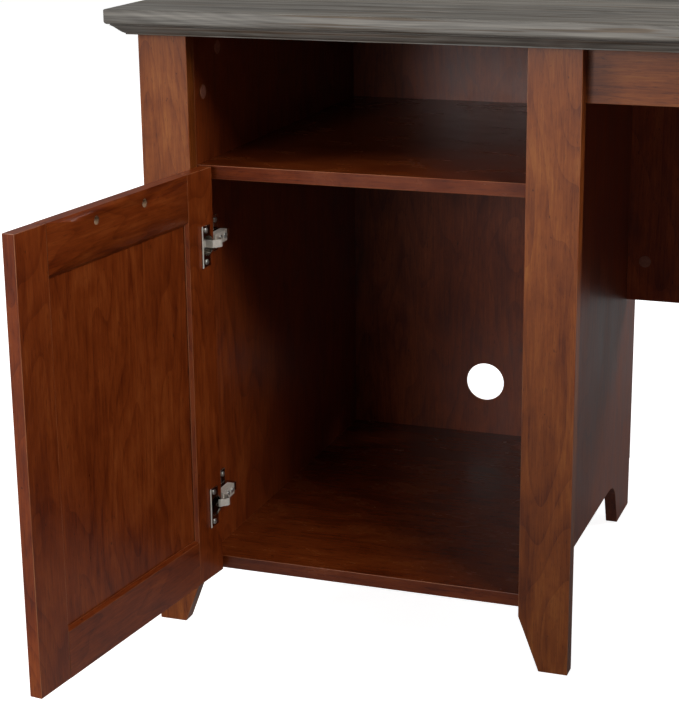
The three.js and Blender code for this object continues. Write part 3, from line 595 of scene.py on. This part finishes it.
# ---- Cam locks and their caps --------------------------------------------------------
# Zinc cam drums lie in bored wells and pull on steel bolts. Each is covered by a thin
# stick-on cap printed like the boards, with a paler rim that is a painted highlight.
CAM_RADIUS, CAP_RADIUS, CAP_THICKNESS, CAP_ROUND = 0.0072, 0.0085, 0.0007, 0.0006
LEFTWARD, RIGHTWARD = Vector((-1, 0, 0)), Vector((1, 0, 0))
OUT_FRONT, TO_REAR = Vector((0, -1, 0)), Vector((0, 1, 0))
UPWARD, DOWNWARD = Vector((0, 0, 1)), Vector((0, 0, -1))


def cap_foil():
    """Cap foil: a smooth brown print, a little pinker and duller than the boards."""
    foil = Finish("cap_foil")
    mottle = foil.noise(foil.node("ShaderNodeTexCoord").outputs["Object"], 160.0, 3.0)
    foil.feed(foil.shader.inputs["Base Color"],
              foil.ramp(mottle, [(0.3, (0.34, 0.125, 0.080)), (0.7, (0.52, 0.215, 0.145))]))
    foil.feed(foil.shader.inputs["Roughness"], foil.band(mottle, 0.3, 0.7, 0.40, 0.52))
    foil.bump(mottle, 0.00005, 0.4)
    return foil.material


# The caps' rim finish is a painted highlight: a paler brown on the rounded rim.
foil, foil_rim = cap_foil(), arris_wear_and_painted_highlight("cap_rim", UPRIGHT, 4.4)


def cap(name, place, outward):
    """A round cap on a board's face, slightly crowned, with a rounded rim painted paler as a highlight."""
    disc = bmesh.new()
    rim = [(CAP_RADIUS - CAP_ROUND * (1 - math.cos(a)), CAP_THICKNESS * math.sin(a))
           for a in [math.radians(18 * i) for i in range(1, 6)]]
    crown = [(CAP_RADIUS * 0.5, CAP_THICKNESS * 1.05), (0.0, CAP_THICKNESS * 1.06)]
    add_lathe(disc, [(0.0, 0.0), (CAP_RADIUS, 0.0), *rim, *crown], 36, facing(place, outward))
    piece = mesh_piece(f"cam_cap_{name}", disc, [foil, foil_rim], smooth=True)
    for face in piece.data.polygons:
        face.material_index = 0 if abs(face.normal.dot(outward)) > 0.9 else 1
    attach(piece, "desk_frame")


CAM_WAYS = {  # the face each drum is let into, and the way its bolt pulls
    "front_post_left": (RIGHTWARD, OUT_FRONT), "pedestal_side_left": (RIGHTWARD, UPWARD),
    "front_post_right": (LEFTWARD, OUT_FRONT), "pedestal_side_right": (LEFTWARD, UPWARD),
    "corner_post": (LEFTWARD, OUT_FRONT), "corner_side_panel": (LEFTWARD, UPWARD),
    "bottom_panel_left": (DOWNWARD, LEFTWARD), "bottom_panel_right": (DOWNWARD, RIGHTWARD),
    "fixed_shelf_left": (DOWNWARD, LEFTWARD), "fixed_shelf_right": (DOWNWARD, RIGHTWARD),
    "modesty_left_lower": (OUT_FRONT, LEFTWARD), "modesty_left_upper": (OUT_FRONT, LEFTWARD),
    "modesty_right_lower": (OUT_FRONT, RIGHTWARD), "modesty_right_upper": (OUT_FRONT, RIGHTWARD),
    "rail_left": (TO_REAR, LEFTWARD), "rail_right": (TO_REAR, RIGHTWARD),
}
for name, (outward, pull_way) in CAM_WAYS.items():
    dress(f"cam_lock_{name}", zinc, zinc, radius=0.0003)
    low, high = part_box(f"cam_lock_{name}")
    place = (low + high) / 2
    for axis in range(3):
        if pull_way[axis]:
            place[axis] = low[axis] + CAM_RADIUS if pull_way[axis] > 0 else high[axis] - CAM_RADIUS
        elif outward[axis]:
            place[axis] = high[axis] if outward[axis] > 0 else low[axis]
    cap(name, place, outward)

# ---- Caps on the return wing ---------------------------------------------------------
# The return's boards are joined by the same locks. Their stick-on caps sit near the
# ends of the modesty panel and the rail, and near the end panel's top.
CAP_FROM_END, CAP_FROM_EDGE = 0.0247, 0.0550
panel_low, panel_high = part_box("return_modesty_panel")
for end, y in [("front", panel_low.y + CAP_FROM_END), ("rear", panel_high.y - CAP_FROM_END)]:
    for level, z in [("lower", panel_low.z + CAP_FROM_EDGE), ("upper", panel_high.z - CAP_FROM_EDGE)]:
        cap(f"return_modesty_{end}_{level}", (panel_low.x, y, z), LEFTWARD)
rail_low, rail_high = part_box("return_rail")
for end, y in [("front", rail_low.y + CAP_FROM_END), ("rear", rail_high.y - 2.2 * CAP_FROM_END)]:
    cap(f"return_rail_{end}", (rail_high.x, y, (rail_low.z + rail_high.z) / 2), RIGHTWARD)
end_low, end_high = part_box("return_end_panel")
end_cap_place = (end_low.x + 2 * CAP_FROM_EDGE, end_high.y, end_high.z - CAP_FROM_END)
cap("return_end_upper", end_cap_place, TO_REAR)

# ---- Brackets and joining plates -----------------------------------------------------
# Zinc angle brackets tie the boards to the tops, and flat plates tie the two tops. Each
# leg of a bracket takes one screw, and a plate takes two on either side of the joint.
SHEET, LEG_SCREW, BRACKET_ARRIS, PLATE_ARRIS = 0.0020, 0.0130, 0.0005, 0.0006
JOINING_SCREWS = (-0.40, -0.12, 0.28, 0.42)    # from the plate's middle, over its length
BRACKET_WAYS = {"modesty_left": OUT_FRONT, "modesty_right": OUT_FRONT, "kneehole_rail": TO_REAR,
                "return_modesty_front": LEFTWARD, "return_modesty_rear": LEFTWARD,
                "return_rail": RIGHTWARD}
for name, outward in BRACKET_WAYS.items():
    dress(f"top_bracket_{name}", zinc, zinc, BRACKET_ARRIS)
    low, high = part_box(f"top_bracket_{name}")
    root = (low + high) / 2 - outward * abs((high - low).dot(outward)) / 2
    root.z = high.z
    screws(f"bracket_screws_{name}", "desk_frame",
           [facing(root + outward * SHEET + DOWNWARD * LEG_SCREW, outward),
            facing(root + outward * LEG_SCREW + DOWNWARD * SHEET, DOWNWARD)])
for count in (1, 2, 3):
    dress(f"joining_plate_{count}", zinc, zinc, PLATE_ARRIS)
    low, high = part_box(f"joining_plate_{count}")
    middle = (low + high) / 2
    length = high.y - low.y
    screws(f"joining_screws_{count}", "desk_frame",
           [facing((middle.x, middle.y + part * length, low.z), DOWNWARD) for part in JOINING_SCREWS])

# ---- Nails in the back board ---------------------------------------------------------
# Flat-headed steel nails hold the back board all round, a hand's breadth or two apart.
# They are driven nearly flush, so only their thin heads show.
back_low, back_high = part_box("pedestal_back")
NAIL_RADIUS, NAIL_HEAD, NAIL_MARGIN = 0.0024, 0.0004, 0.0080
GAPS_ACROSS, GAPS_UP = 4, 6
nail_profile = [(0.0, 0.0), (NAIL_RADIUS, 0.0), (NAIL_RADIUS, 0.6 * NAIL_HEAD),
                (0.8 * NAIL_RADIUS, NAIL_HEAD), (0.0, NAIL_HEAD)]
nails = bmesh.new()
width = back_high.x - back_low.x - 2 * NAIL_MARGIN
tall = back_high.z - back_low.z - 2 * NAIL_MARGIN
corner = Vector((back_low.x + NAIL_MARGIN, back_high.y, back_low.z + NAIL_MARGIN))
rows = [(width * i / GAPS_ACROSS, level) for i in range(GAPS_ACROSS + 1) for level in (0.0, tall)]
columns = [(side, tall * i / GAPS_UP) for i in range(1, GAPS_UP) for side in (0.0, width)]
for across, up in rows + columns:
    add_lathe(nails, nail_profile, 16, facing(corner + Vector((across, 0, up)), TO_REAR))
piece = mesh_piece("back_board_nails", nails, [zinc], smooth=True)
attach(piece, "desk_frame")
